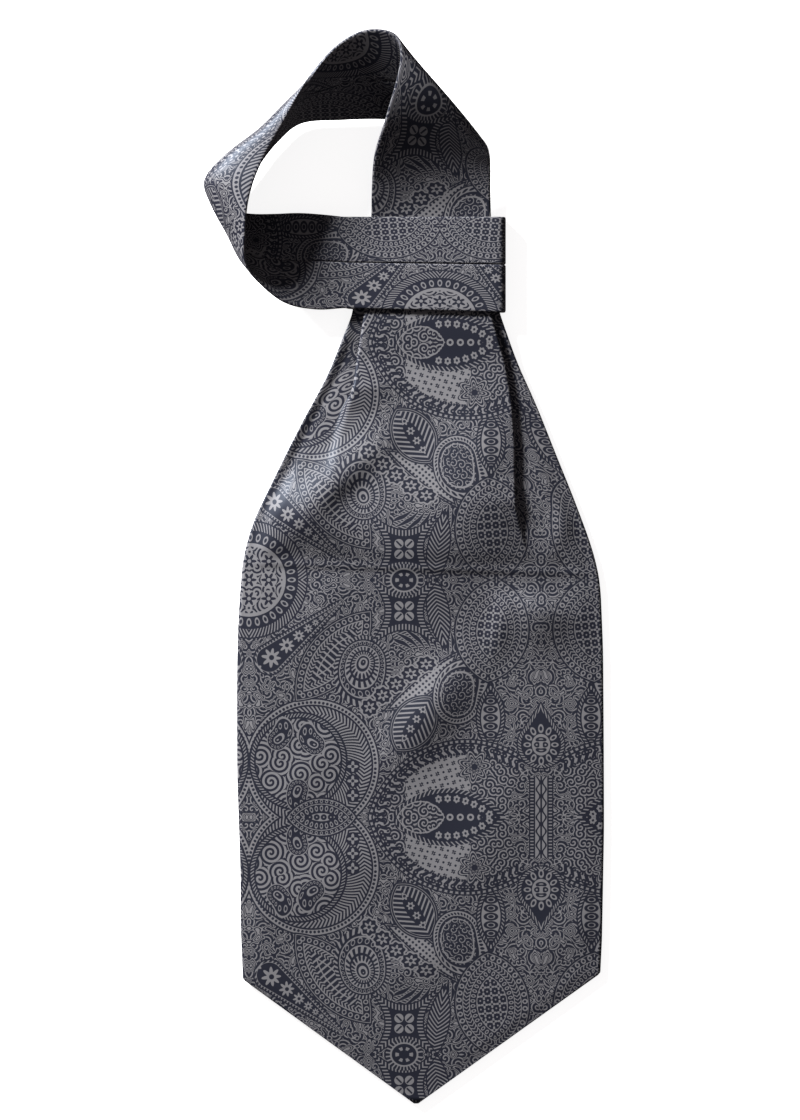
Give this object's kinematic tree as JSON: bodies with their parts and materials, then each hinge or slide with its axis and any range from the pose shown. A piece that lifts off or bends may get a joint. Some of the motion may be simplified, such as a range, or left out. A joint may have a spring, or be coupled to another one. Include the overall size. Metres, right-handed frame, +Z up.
{
  "type": "silk cravat",
  "caption": "Pull-through silk cravat lying face up: a wide pointed blade pleated into its neck, with a neck band looped round and ending as a keeper across it.",
  "frame": {"origin": "middle of the cravat's footprint, on the table it lies on", "axes": "+Z up from the table, +Y from the blade's point towards the neck loop, +X to the right as seen from above with the loop at the top"},
  "size_m": [0.1706, 0.4574, 0.03],
  "materials": {
    "printed_silk": "satin"
  },
  "bodies": {
    "root": {"blade_front": "printed_silk", "blade_back": "printed_silk", "band_rise": "printed_silk", "band_top": "printed_silk", "band_side": "printed_silk", "band_cross": "printed_silk", "keeper_front": "printed_silk", "keeper_back": "printed_silk"}
  },
  "joints": []
}
